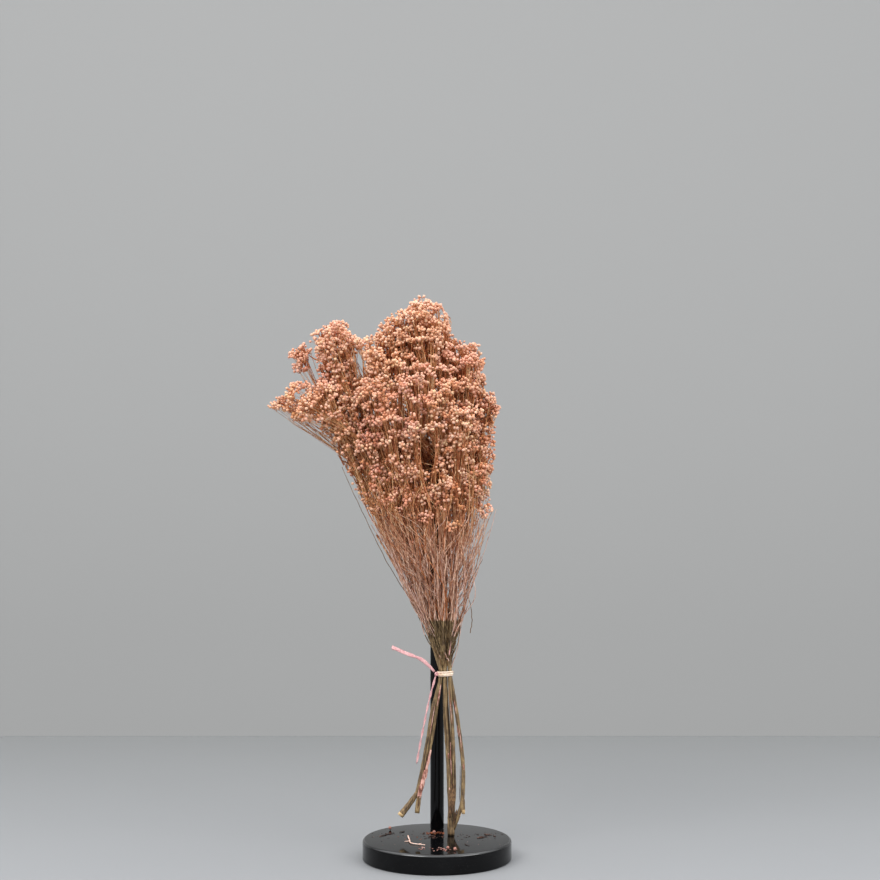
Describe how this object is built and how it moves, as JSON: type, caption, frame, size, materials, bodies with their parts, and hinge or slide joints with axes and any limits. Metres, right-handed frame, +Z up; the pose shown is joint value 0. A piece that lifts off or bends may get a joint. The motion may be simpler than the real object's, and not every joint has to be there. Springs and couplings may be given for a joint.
{
  "type": "tied dried broom bloom bunch on a display stand",
  "caption": "Dried, dyed broom bloom bunch, tied with raffia, its foot standing on a round glossy black stand and its spreading pod heads held round the stand's post.",
  "frame": {"origin": "centre of the disc's flat underside, on the surface the stand rests on", "axes": "+Z up along the post, -Y towards the viewer of the front, +X to that viewer's right"},
  "size_m": [0.249, 0.1855, 0.5714],
  "materials": {
    "disc_lacquer": "glossy black lacquer with a little dust",
    "post_lacquer": "glossy black lacquer",
    "screw_steel": "plain steel",
    "bark": "matt olive-brown bark, dry and grooved",
    "dyed_bloom": "matt peach-orange dye on dry pods and wiry twigs, with pink and ochre patches",
    "cream_raffia": "cream raffia, fibrous",
    "pink_raffia": "pink dyed raffia, fibrous",
    "fallen_bits": "dry crumbs of twig and pod"
  },
  "bodies": {
    "root": {"stand_disc": "disc_lacquer", "stand_post": "post_lacquer", "stand_screw": "screw_steel", "woody_left": "bark", "woody_right": "bark", "spray_top": "dyed_bloom", "spray_upper_left": "dyed_bloom", "spray_far_left": "dyed_bloom", "spray_left_front": "dyed_bloom", "spray_front": "dyed_bloom", "spray_front_right": "dyed_bloom", "spray_right": "dyed_bloom", "spray_back_left": "dyed_bloom", "spray_back_right": "dyed_bloom", "tie": "cream_raffia", "tie_tail_upper": "pink_raffia", "tie_tail_lower": "pink_raffia", "fallen_twig": "fallen_bits", "fallen_pod_1": "fallen_bits", "fallen_pod_2": "fallen_bits", "fallen_pod_3": "fallen_bits", "fallen_pod_4": "fallen_bits"}
  },
  "joints": []
}
